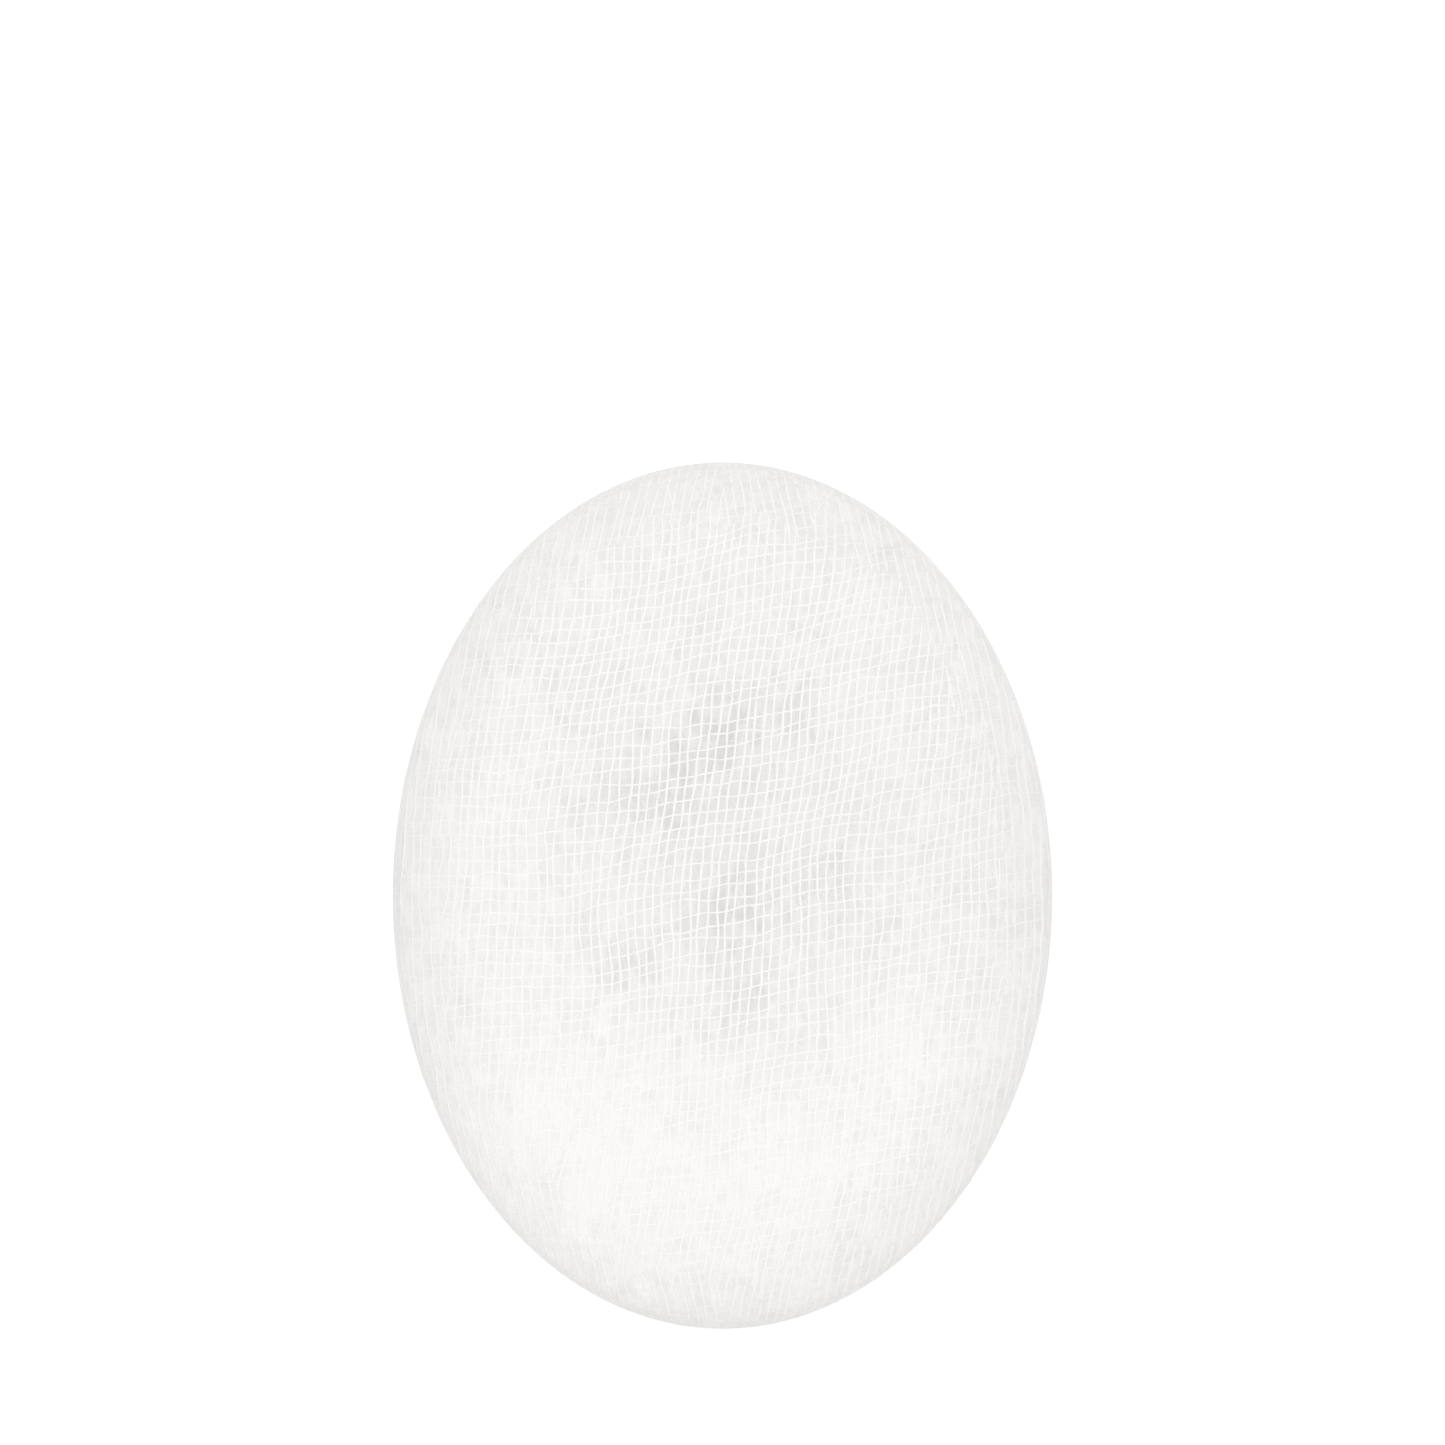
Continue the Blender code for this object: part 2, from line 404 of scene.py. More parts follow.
@dataclass(frozen=True)
class PadForm:
    """The outer shape of the pad, which the highest threads of the gauze touch."""

    half_width: float = 25.5 * MM
    half_length: float = 33.5 * MM
    edge_level: float = 2.7 * MM
    lip: float = 0.45 * MM  # upright part of each face, beside the cut edge
    front: FaceShape = FaceShape(rise=4.72 * MM, crown=0.8 * MM, shoulder=4.6 * MM)
    back: FaceShape = FaceShape(rise=2.7 * MM, crown=0.0, shoulder=4.2 * MM)
    squareness: float = 2.3  # of the round edge: 2 is a plain ellipse, and more is squarer
    bend_steps: int = 240  # in which the arc of the round edge is measured
    edge_band: float = 7.5 * MM  # beside the cut edge, where the lumps die away and painted shade darkens wool and yarn

    def face(self, side: Side) -> FaceShape:
        """The shape of one side."""
        return self.front if side is Side.FRONT else self.back

    def reach(self, direction: float, inset: float = 0.0) -> float:
        """Find how far the pad reaches in one direction.

        Args:
            direction: The direction from the pad's middle, in radians.
            inset: How much smaller than the pad's outline the oval is.

        Returns:
            The distance from the middle.
        """
        across = math.cos(direction) / (self.half_width - inset)
        along = math.sin(direction) / (self.half_length - inset)
        return 1 / math.hypot(across, along)

    @cached_property
    def bends(self) -> dict[Side, list[tuple[float, float, float]]]:
        """Measure the curve of each round edge.

        Returns:
            For each face, rows of the arc so far, over the straight line from end to end, and
            the shares of the edge's width and height there.
        """
        found = {}
        for side in Side:
            face = self.face(side)
            width, height = face.shoulder, face.rise - face.crown - self.lip
            arc, before = 0.0, (0.0, 1.0)
            rows = [(0.0, *before)]
            for step in range(1, self.bend_steps + 1):
                turn = math.pi / 2 * step / self.bend_steps
                out = math.sin(turn) ** (2 / self.squareness)
                up = abs(math.cos(turn)) ** (2 / self.squareness)
                arc += math.hypot((out - before[0]) * width, (up - before[1]) * height)
                before = (out, up)
                rows.append((arc, out, up))
            size = math.hypot(width, height)
            found[side] = [(arc / size, out, up) for arc, out, up in rows]
        return found

    def round_edge(self, side: Side, direction: float) -> tuple[float, float, float, float]:
        """Measure the round edge of one face in one direction.

        Args:
            side: The face.
            direction: The direction from the pad's middle, in radians.

        Returns:
            Where the round edge begins, its width, its height, and the length of its arc.
        """
        face = self.face(side)
        begins = self.reach(direction, face.shoulder)
        width = self.reach(direction) - begins
        height = face.rise - face.crown - self.lip
        return begins, width, height, self.bends[side][-1][0] * math.hypot(width, height)

    def cloth_reach(self, side: Side, direction: float) -> float:
        """Distance along the cloth from the middle of a face to its cut edge."""
        begins, _, _, arc = self.round_edge(side, direction)
        return begins + arc + self.lip

    def past_edge(self, side: Side, x: float, y: float) -> float:
        """How far a point of the flat cloth is past the cut edge of one face."""
        return math.hypot(x, y) - self.cloth_reach(side, math.atan2(y, x))

    def bend_at(self, side: Side, share: float) -> tuple[float, float]:
        """Find a place on the curve of a round edge.

        Args:
            side: The face.
            share: How much of the edge's arc lies before the place.

        Returns:
            How much of the edge's width is gone there, and how much of its height is left.
        """
        rows = self.bends[side]
        wanted = min(1.0, max(0.0, share)) * rows[-1][0]
        place = max(1, bisect_left(rows, (wanted,)))
        low, high = rows[place - 1], rows[min(place, len(rows) - 1)]
        span = high[0] - low[0]
        part = (wanted - low[0]) / span if span else 0.0
        return low[1] + part * (high[1] - low[1]), low[2] + part * (high[2] - low[2])

    def at(self, side: Side, x: float, y: float) -> tuple[Vector, Vector]:
        """Lay a point of the flat cloth on one face.

        Args:
            side: The face that the cloth covers.
            x: The point's distance across the flat cloth from its middle.
            y: The point's distance along the flat cloth from its middle.

        Returns:
            The point on the outer surface, and the direction straight out of that surface.
        """
        face = self.face(side)
        direction = math.atan2(y, x)
        gone = math.hypot(x, y)
        edge = self.reach(direction)
        begins, width, height, arc = self.round_edge(side, direction)
        past, left = self.bend_at(side, (gone - begins) / arc)
        down = max(0.0, gone - begins - arc)
        away = min(gone, begins) + width * past
        level = face.rise - face.crown * (away / edge) ** 2
        rise = self.lip + (level - self.lip) * left - down
        fall = 2 * face.crown * away / edge**2
        up = left ** (self.squareness - 1) / height
        out = past ** (self.squareness - 1) / width + fall * up
        outward = Vector((
            math.cos(direction) / self.half_width**2,
            math.sin(direction) / self.half_length**2,
            0.0,
        )).normalized()
        point = Vector((
            away * math.cos(direction),
            away * math.sin(direction),
            self.edge_level + side.value * rise,
        ))
        return point, (outward * out + Vector((0.0, 0.0, side.value * up))).normalized()

    def near_edge(self, place: Vector) -> float:
        """How far a place is into the band beside the cut edge, from 0 to 1, seen from above."""
        inside = self.reach(math.atan2(place.y, place.x)) - math.hypot(place.x, place.y)
        return 1 - smooth_step(inside / self.edge_band)


@dataclass(frozen=True)
class SoftSpot:
    """A soft round place that differs from what is around it, placed in millimetres."""

    x: float
    y: float
    reach: float
    change: float  # of a share, in the middle of the spot

    def at(self, place: Vector) -> float:
        """How much of the change there is at one place."""
        away = math.hypot(place.x / MM - self.x, place.y / MM - self.y) / self.reach
        return self.change * math.exp(-away * away)


@dataclass(frozen=True)
class Swelling:
    """How the filling swells in the gauze that holds it: a short cloth simulation.

    The solver suits cushions of some decimetres, so it works on a model ten times as large.
    """

    scale: float = 10.0
    start_depth: float = 0.5 * MM  # how much smaller the filling starts, all round
    most: float = 0.5 * MM  # how far a point may move
    pressure: float = 4.0
    stiffness: float = 40.0
    quality: int = 5
    frames: int = 20
    held_border: float = 0.6 * MM  # beside the cut edge, where the gauze holds the filling
    ramp: float = 2.0 * MM  # from what is held to what can move freely

    def freedom(self, form: PadForm, place: Vector) -> float:
        """Find how freely a place of the filling can move.

        Args:
            form: The shape of the pad.
            place: The place before it moves.

        Returns:
            0 beside the cut edge and on the table, and 1 well away from both.
        """
        direction = math.atan2(place.y, place.x)
        gone = math.hypot(place.x, place.y)
        room = form.reach(direction) - self.held_border - gone
        if place.z < form.edge_level:
            room = min(room, gone - form.round_edge(Side.BACK, direction)[0])
        return smooth_step(room / self.ramp)

    def cushion(self, form: PadForm, mesh: bmesh.types.BMesh) -> bpy.types.Object:
        """Set up the model that swells.

        Args:
            form: The shape of the pad, which says what is held.
            mesh: The filling before it swells.

        Returns:
            The enlarged model, ready for its simulation.
        """
        data = bpy.data.meshes.new("swelling")
        mesh.to_mesh(data)
        data.transform(Matrix.Scale(self.scale, 4))
        cushion = bpy.data.objects.new("swelling", data)
        bpy.context.scene.collection.objects.link(cushion)
        held = cushion.vertex_groups.new(name="held")
        fixed = [vertex.index for vertex in mesh.verts if self.freedom(form, vertex.co) == 0]
        held.add(fixed, 1.0, "REPLACE")
        cloth = cushion.modifiers.new("swelling", "CLOTH")
        cloth.point_cache.frame_end = self.frames
        cloth.settings.quality = self.quality
        cloth.settings.use_pressure = True
        cloth.settings.uniform_pressure_force = self.pressure
        cloth.settings.tension_stiffness = self.stiffness
        cloth.settings.compression_stiffness = self.stiffness
        cloth.settings.vertex_group_mass = held.name
        cloth.settings.effector_weights.gravity = 0.0
        return cushion

    def simulate(self, form: PadForm, mesh: bmesh.types.BMesh) -> None:
        """Let a closed mesh swell, and move its vertices to where the simulation leaves them.

        Args:
            form: The shape of the pad, which says what is held.
            mesh: The filling before it swells.
        """
        cushion = self.cushion(form, mesh)
        scene = bpy.context.scene
        for frame in range(1, self.frames + 1):
            scene.frame_set(frame)
        table = min(vertex.co.z for vertex in mesh.verts)
        swollen = cushion.evaluated_get(bpy.context.evaluated_depsgraph_get()).data.vertices
        for vertex, settled in zip(mesh.verts, swollen):
            move = settled.co / self.scale - vertex.co
            far = move.length
            if far:
                vertex.co += move * (self.most * math.tanh(far / self.most) / far)
            vertex.co.z = max(vertex.co.z, table)
        scene.frame_set(1)
        data = cushion.data
        bpy.data.objects.remove(cushion)
        bpy.data.meshes.remove(data)


@dataclass
class CottonFilling:
    """The filling of the pad: one soft lumpy cushion of cotton wool."""

    form: PadForm
    finish: CottonWool
    swelling: Swelling = Swelling()
    depth: float = 0.045 * MM  # below the pad's outer shape, which leaves room for the threads
    fineness: int = 6  # how often the ball that the filling starts as is divided
    lump_size: float = 7.0 * MM
    lump_height: float = 0.22 * MM
    cloud_size: float = 2.7 * MM
    cloud_fade: float = 0.9  # of each finer layer of the clouds
    cloud_ratio: float = 2.0  # of the size of one layer to that of the next finer one
    cloud_layers: int = 3
    ragged_size: float = 0.85 * MM  # across the tufts that fray the outlines of the clouds
    ragged_length: float = 2.0 * MM  # along them
    ragged: float = 4.0 * MM  # how far they pull the outlines, times the noise
    middle_thickness: float = 0.70
    cloud_share: float = 0.20
    # Painted shade: how much the wool darkens towards the cut edge
    rim_painted_shade: float = 0.09
    # Thin places where the wool looks darker; then wide fields of painted light and shade, paler
    # towards the bottom and left and darker in the middle; then painted shade at the left and right
    # edges
    spots: tuple[SoftSpot, ...] = (
        SoftSpot(-1.0, 12.9, 2.4, -0.50),
        SoftSpot(-3.3, 9.6, 1.9, -0.38),
        SoftSpot(-4.6, 6.0, 2.0, -0.28),
        SoftSpot(-7.0, 7.3, 1.5, -0.15),
        SoftSpot(5.6, 14.2, 1.9, -0.32),
        SoftSpot(2.2, 14.6, 1.6, -0.28),
        SoftSpot(1.3, -0.9, 2.4, -0.46),
        SoftSpot(6.8, 1.5, 2.2, -0.36),
        SoftSpot(-3.1, -2.6, 2.0, -0.32),
        SoftSpot(1.0, -5.8, 2.1, -0.23),
        SoftSpot(-6.8, -5.8, 1.8, -0.24),
        SoftSpot(1.4, -8.6, 1.8, -0.15),
        SoftSpot(-9.2, -8.4, 1.7, -0.20),
        SoftSpot(1.2, 7.8, 2.6, -0.12),
        SoftSpot(12.2, 9.3, 2.2, -0.10),
        SoftSpot(0.0, 18.0, 2.2, -0.12),
        SoftSpot(1.6, -16.8, 2.6, -0.08),
        SoftSpot(11.0, -15.2, 3.0, -0.12),
        SoftSpot(-12.4, 15.4, 2.0, -0.14),
        # Painted light and shade: wide fields, paler towards the bottom and left
        SoftSpot(1.5, 5.0, 13.0, -0.14),
        SoftSpot(14.0, 4.0, 9.0, -0.03),
        SoftSpot(-13.5, -15.0, 7.0, 0.25),
        SoftSpot(-4.0, -21.0, 8.0, 0.27),
        SoftSpot(7.0, -19.0, 7.0, 0.24),
        SoftSpot(14.0, -12.0, 5.0, 0.22),
        SoftSpot(-18.5, -1.0, 6.0, 0.16),
        SoftSpot(-16.0, 10.0, 5.0, 0.08),
        SoftSpot(-12.0, -23.0, 6.0, 0.12),
        # Painted shade at the left and right edges
        SoftSpot(-24.0, -1.0, 6.0, -0.10),
        SoftSpot(24.0, -2.0, 6.0, -0.08),
    )
    surface: BVHTree | None = field(init=False, default=None)

    def thickness(self, place: Vector) -> float:
        """Find how thick the wool looks at one place, with painted light and shade mixed in.

        Args:
            place: The place on the surface of the filling.

        Returns:
            About 0 where it is thinnest and 1 where it is thickest.
        """
        tuft = Vector((
            place.x / self.ragged_size, place.y / self.ragged_length, place.z / self.ragged_size
        ))
        moved = place + self.ragged * Vector((waver(*tuft), waver(*tuft.yzx), 0.0))
        cloud = noise.fractal(
            moved / self.cloud_size, self.cloud_fade, self.cloud_ratio, self.cloud_layers
        )
        value = self.middle_thickness + self.cloud_share * cloud
        # Painted shade: the wool darkens towards the cut edge
        value -= self.rim_painted_shade * self.form.near_edge(place)
        if place.z < self.form.edge_level:
            return value
        # On the front, the spots add thin places and painted light and shade
        return value + sum(spot.at(moved) for spot in self.spots)

    def build(self) -> bpy.types.Object:
        """Model the filling, and keep its surface for the pieces that lie on it.

        Returns:
            The finished cushion.
        """
        mesh = bmesh.new()
        bmesh.ops.create_icosphere(mesh, subdivisions=self.fineness, radius=1.0)
        for vertex in mesh.verts:
            side = Side.FRONT if vertex.co.z >= 0 else Side.BACK
            direction = math.atan2(vertex.co.y, vertex.co.x)
            share = math.acos(min(1.0, abs(vertex.co.z))) / (math.pi / 2)
            gone = share * self.form.cloth_reach(side, direction)
            point, normal = self.form.at(
                side, gone * math.cos(direction), gone * math.sin(direction)
            )
            smaller = self.swelling.start_depth * self.swelling.freedom(self.form, point)
            vertex.co = point - normal * (self.depth + smaller)
        self.swelling.simulate(self.form, mesh)
        bmesh.ops.subdivide_edges(mesh, edges=mesh.edges, cuts=1, use_grid_fill=True, smooth=1.0)
        mesh.normal_update()
        layer = mesh.verts.layers.float.new(self.finish.thickness_and_light_name)
        for vertex in mesh.verts:
            vertex[layer] = self.thickness(vertex.co)
            lump = self.lump_height * waver(*(vertex.co / self.lump_size))
            lump *= 1 - self.form.near_edge(vertex.co)
            if vertex.co.z < self.form.edge_level:
                lump = -abs(lump)
            vertex.co += vertex.normal * lump
        mesh.normal_update()
        self.surface = BVHTree.FromBMesh(mesh)
        return finished("cotton_wool_filling", mesh, self.finish.material())


@dataclass
class Drape:
    """Lays points of the flat cloth on the filling."""

    form: PadForm
    surface: BVHTree
    search: float = 1.5 * MM  # from the pad's outer shape, each way, for the filling's surface
    floor_room: float = 0.005 * MM  # that the lowest threads keep above the table

    def over(self, side: Side, x: float, y: float, height: float) -> Vector:
        """Find the place in space of a point of the cloth.

        Args:
            side: The face that the cloth covers.
            x: The point's distance across the flat cloth from its middle.
            y: The point's distance along the flat cloth from its middle.
            height: How far above the filling the point is.

        Returns:
            The place in space.
        """
        past = self.form.past_edge(side, x, y)
        if past > 0:
            direction = math.atan2(y, x)
            side = side.other
            gone = self.form.cloth_reach(side, direction) - past
            x, y = gone * math.cos(direction), gone * math.sin(direction)
        point, normal = self.form.at(side, x, y)
        found = self.surface.ray_cast(point + normal * self.search, -normal, 2 * self.search)[0]
        place = (found or point) + normal * height
        place.z = max(place.z, self.floor_room)
        return place


@dataclass(frozen=True)
class ThreadKind:
    """What sets the warp and the weft apart."""

    pitch: float
    width: float
    proud: float  # how far it stands out of the soft wool
    fade: float  # how much painted shade it takes on near the cut edge
    quick_bend: float  # how far it strays sideways in quick bends, times the noise
    slow_bend: float
    spacing: float  # how far it lies from its even place, times the noise


@dataclass(frozen=True)
class Weave:
    """The plain open weave of the gauze, and how it is pulled out of square."""

    warp: ThreadKind = ThreadKind(
        pitch=0.714 * MM,  # 14 threads to the centimetre
        width=0.26 * MM,
        proud=0.027 * MM,
        fade=0.55,
        quick_bend=0.12 * MM,
        slow_bend=0.20 * MM,
        spacing=0.10 * MM,
    )
    weft: ThreadKind = ThreadKind(
        pitch=1.0 * MM,  # 10 threads to the centimetre
        width=0.192 * MM,
        proud=0.018 * MM,
        fade=1.0,
        quick_bend=0.22 * MM,
        slow_bend=0.44 * MM,
        spacing=0.22 * MM,
    )
    quick_length: float = 1.9 * MM  # from one quick bend to the next
    slow_length: float = 6.5 * MM
    own_step: float = 1.37  # in the noise from thread to thread, so that each bends on its own
    spacing_step: float = 0.61  # less, as the spacing changes slowly from thread to thread
    spacing_row: float = 3.3  # of the noise, along which the spacing is read
    slub: float = 0.22  # of a thread's thickness, times the noise
    slub_pace: float = 0.8  # in the noise from crossing to crossing
    slub_step: float = 1.7  # in the noise from thread to thread
    flatness: float = 0.5  # a thread's height over its width, as it is pressed against the wool
    lean: float = math.radians(6.0)  # of the warp, to the right going up the pad
    lean_swing: float = math.radians(2.2)  # that the lean gains and loses along the pad
    lean_wave: float = 44.0 * MM
    lean_start: float = 7.0 * MM
    kink: float = 0.24 * MM  # sideways, where the warp stands upright for a few millimetres
    kink_place: float = -2.0 * MM
    kink_width: float = 2.8 * MM
    rise: float = math.radians(6.2)  # of the weft, to the right
    rise_swing: float = math.radians(3.8)  # less to the left of the turn, and more to its right
    rise_turn: float = -11.0 * MM
    rise_width: float = 2.5 * MM
    shared_size: float = 8.0 * MM  # waves that neighbouring threads share
    shared_shift: float = 0.5 * MM
    border: float = 6.1 * MM  # beside the cut edge, where the warp is drawn round the edge
    border_swing: float = 2.6 * MM  # of the border's width round the pad, times the noise
    border_size: float = 2.4 * MM  # between its wide and its narrow places
    border_turn: float = math.radians(10.0)  # of the warp there, towards the pad's middle line
    border_ease: float = 15.0 * MM  # along the pad, before it turns that much
    border_spread: float = 70.0  # of its outermost threads, per square metre
    overlap: float = 0.25 * MM  # of the warp in the border and the warp inside it, each way
    most_threads: int = 52  # to each side of the middle, more than the pad is wide or long
    shift: float = 0.0  # of the noise

    def kind(self, run: Run) -> ThreadKind:
        """The kind of thread that runs one way."""
        return self.weft if run is Run.WEFT else self.warp

    def numbers(self) -> range:
        """The numbers of the threads of one kind, counted from the middle of the cloth."""
        return range(-self.most_threads, self.most_threads + 1)

    def uneven(self, respect: Uneven, across: float, along: float) -> float:
        """How uneven the gauze is in one respect, at one place of the noise."""
        return waver(across, along, self.shift + respect.value)

    def lay(self, across: float, along: float) -> tuple[float, float]:
        """Pull a point of the square weave to where it lies in the cloth.

        Args:
            across: The place across the weave.
            along: The place along the weave.

        Returns:
            The place across and along the cloth.
        """
        turn = 2 * math.pi / self.lean_wave
        sway = self.lean_swing / turn * math.cos(turn * (along - self.lean_start))
        step = (across - self.rise_turn) / self.rise_width
        bend = self.rise_swing * self.rise_width * math.log(math.cosh(step))
        bend += self.rise_swing * self.rise_turn
        shared = across / self.shared_size, along / self.shared_size
        upright = self.kink * math.erf((along - self.kink_place) / self.kink_width)
        x = across + self.lean * along - sway - upright
        y = along + self.rise * across + bend
        x += self.shared_shift * self.uneven(Uneven.SHARED_ACROSS, *shared)
        y += self.shared_shift * self.uneven(Uneven.SHARED_ALONG, *shared)
        return x, y

    def border_at(self, x: float, y: float) -> float:
        """How wide the border is beside one place of the cloth."""
        swing = self.uneven(Uneven.BORDER_WIDTH, x / self.border_size, y / self.border_size)
        return self.border + self.border_swing * swing

    def lay_border(self, across: float, along: float) -> tuple[float, float]:
        """Place a point of the warp in the border, where it turns alike in all four quarters.

        Args:
            across: The place across the weave.
            along: The place along the weave.

        Returns:
            The place across and along the cloth.
        """
        eased = min(abs(along), self.border_ease)
        turned = abs(along) - eased + eased**2 / (2 * self.border_ease)
        spread = across + self.border_spread * across**3
        return spread - math.copysign(self.border_turn * turned, across), along


@dataclass(frozen=True)
class Strand:
    """One thread of a face of gauze, which shows in one length or in several.

    A step along it takes it from one thread that crosses it to the next.
    """

    weave: Weave
    drape: Drape
    side: Side
    run: Run
    number: int
    swing: float = 0.002 * MM  # of its height as it goes over and under: loose yarn gives there
    sunk_swings: float = 16.0  # how deep an end inside the cut edge is sunk, in swings
    cut_border: float = 0.68 * MM  # beside the cut edge, where an end is cut and not sunk
    level_part: float = 0.25  # of a step, to each side of a crossing, that it runs level
    halvings: int = 12  # of a step, to find where it ends
    fewest_points: int = 4  # in a length that shows

    def wander(self, along: float) -> float:
        """Find how far the thread strays sideways.

        Args:
            along: The place on its way.

        Returns:
            The distance from its even place.
        """
        weave, kind = self.weave, self.weave.kind(self.run)
        own = self.number * weave.own_step
        quick = kind.quick_bend * weave.uneven(Uneven.QUICK_BENDS, along / weave.quick_length, own)
        slow = kind.slow_bend * weave.uneven(Uneven.SLOW_BENDS, along / weave.slow_length, own)
        place = self.number * weave.spacing_step, weave.spacing_row
        return quick + slow + kind.spacing * weave.uneven(Uneven.SPACING, *place)

    def point(self, step: float) -> tuple[float, float]:
        """Place one point of the thread in the flat cloth.

        Args:
            step: How far along the thread the point is.

        Returns:
            The point's place across and along the cloth.
        """
        weave = self.weave
        if self.run is Run.WEFT:
            across = step * weave.warp.pitch
            return weave.lay(across, self.number * weave.weft.pitch + self.wander(across))
        along = step * weave.weft.pitch
        across = self.number * weave.warp.pitch + self.wander(along)
        return weave.lay(across, along) if self.run is Run.WARP else weave.lay_border(across, along)

    def outside(self, step: float) -> float:
        """Find how far a point is outside the part of the cloth where the thread shows.

        Args:
            step: How far along the thread the point is.

        Returns:
            The distance, or less than 0 inside that part.
        """
        x, y = self.point(step)
        past = self.drape.form.past_edge(self.side, x, y)
        if self.run is Run.WEFT:
            return past
        inward = -past - self.weave.border_at(x, y)
        if self.run is Run.WARP:
            return -inward - self.weave.overlap
        # In the border, no thread crosses the pad's middle line
        return max(past, inward - self.weave.overlap, -x if self.number > 0 else x)

    def end_point(self, inside: float, outside: float) -> tuple[float, float]:
        """End the thread: cut at the edge of the pad, or sunk in the wool inside it.

        Args:
            inside: A step where the thread shows.
            outside: The step beside it, where the thread doesn't show.

        Returns:
            The step where it ends, and its height there in swings.
        """
        for _ in range(self.halvings):
            middle = (inside + outside) / 2
            if self.outside(middle) > 0:
                outside = middle
            else:
                inside = middle
        past = self.drape.form.past_edge(self.side, *self.point(inside))
        return inside, (0.0 if past > -self.cut_border else -self.sunk_swings)

    def lengths(self) -> list[Path]:
        """Lead the thread, still round and flat, over and under the threads that cross it.

        Returns:
            For each length of it that shows, its points from end to end.
        """
        # Where the weft goes over, the warp that it crosses goes under
        first = -1 if self.run is Run.WEFT else 1
        steps = [
            (crossing + part, first if (crossing + self.number) % 2 == 0 else -first)
            for crossing in self.weave.numbers()
            for part in (-self.level_part, self.level_part)
        ]
        found, kept = [], []
        for (before, _), (step, over) in zip(steps, steps[1:]):
            if self.outside(step) < 0:
                kept = kept or [self.end_point(step, before)]
                kept.append((step, over))
            elif kept:
                kept.append(self.end_point(before, step))
                found.append(kept)
                kept = []
        return [self.path(kept) for kept in found if len(kept) >= self.fewest_points]

    def path(self, kept: list[tuple[float, float]]) -> Path:
        """Give one length of the thread its heights and its uneven thickness.

        Args:
            kept: Its steps, each with its height in swings.

        Returns:
            Its points, each with the thread's radius there.
        """
        weave, kind = self.weave, self.weave.kind(self.run)
        radius = kind.width / 2
        path = []
        for step, over in kept:
            place = step * weave.slub_pace, self.number * weave.slub_step
            slub = 1 + weave.slub * weave.uneven(Uneven.SLUBS, *place)
            height = (kind.proud + self.swing * over) / weave.flatness - radius
            path.append((Vector((*self.point(step), height)), radius * slub))
        return path


@dataclass
class GauzeFace:
    """One face of gauze, woven thread by thread over the filling."""

    side: Side
    weave: Weave
    drape: Drape
    yarn: CottonYarn
    finish: bpy.types.Material
    veil: SoftSpot = SoftSpot(19.0, 6.0, 11.0, 0.16)  # where the threads take on a duller tone, right of the middle
    corners: int = 5  # of a thread's cross-section

    def build(self) -> bpy.types.Object:
        """Weave the face flat, with round threads, then press it onto the filling.

        Returns:
            The finished piece of gauze.
        """
        woven = bmesh.new()
        for run in Run:
            fade = self.weave.kind(run).fade
            strands = [
                Strand(self.weave, self.drape, self.side, run, number)
                for number in self.weave.numbers()
            ]
            mesh = tubes([path for strand in strands for path in strand.lengths()], self.corners)
            rim_shaded_and_dulled = mesh.verts.layers.float.new(self.yarn.rim_shade_and_dull_name)
            for vertex in mesh.verts:
                x, y, height = vertex.co
                vertex.co = self.drape.over(self.side, x, y, height * self.weave.flatness)
                # Painted shade darkens the threads towards the cut edge; the veil gives a duller
                # tone
                border = fade * self.drape.form.near_edge(vertex.co)
                vertex[rim_shaded_and_dulled] = border + self.veil.at(vertex.co)
            threads = bpy.data.meshes.new("threads")
            mesh.to_mesh(threads)
            mesh.free()
            woven.from_mesh(threads)
            bpy.data.meshes.remove(threads)
        return finished(f"{self.side.name.lower()}_gauze_weave", woven, self.finish)


@dataclass
class LooseFibres:
    """Single fibres that curl over the front of the filling, half sunk in it."""

    drape: Drape
    finish: bpy.types.Material
    count: int = 1150
    points: int = 18
    shortest: float = 3.0 * MM
    longest: float = 9.0 * MM
    width: float = 0.034 * MM  # a real fibre is half of this, too fine to show
    flatness: float = 0.5
    proud: float = 0.008 * MM
    corners: int = 4
    curl: float = 0.26  # radians from one point to the next
    slant: float = 0.5  # how far their headings differ from straight up the pad
    seed: int = 11

    def fibre(self, chance: random.Random) -> Path:
        """Curl one fibre over the flat cloth.

        Args:
            chance: The source of its random place, heading and bends.

        Returns:
            The points of the fibre.
        """
        direction = chance.uniform(0, 2 * math.pi)
        gone = math.sqrt(chance.random()) * self.drape.form.cloth_reach(Side.FRONT, direction)
        x, y = gone * math.cos(direction), gone * math.sin(direction)
        heading = chance.gauss(math.pi / 2, self.slant)
        step = chance.uniform(self.shortest, self.longest) / (self.points - 1)
        bend = chance.gauss(0, self.curl / 2)
        height = self.proud / self.flatness - self.width / 2
        path = []
        for _ in range(self.points):
            path.append((Vector((x, y, height)), self.width / 2))
            heading += bend + chance.gauss(0, self.curl)
            x += step * math.cos(heading)
            y += step * math.sin(heading)
        return path

    def build(self) -> bpy.types.Object:
        """Scatter the fibres and press them into the wool.

        Returns:
            All the fibres, as one piece.
        """
        chance = random.Random(self.seed)
        mesh = tubes([self.fibre(chance) for _ in range(self.count)], self.corners)
        for vertex in mesh.verts:
            x, y, height = vertex.co
            vertex.co = self.drape.over(Side.FRONT, x, y, height * self.flatness)
        return finished("loose_cotton_fibres", mesh, self.finish)


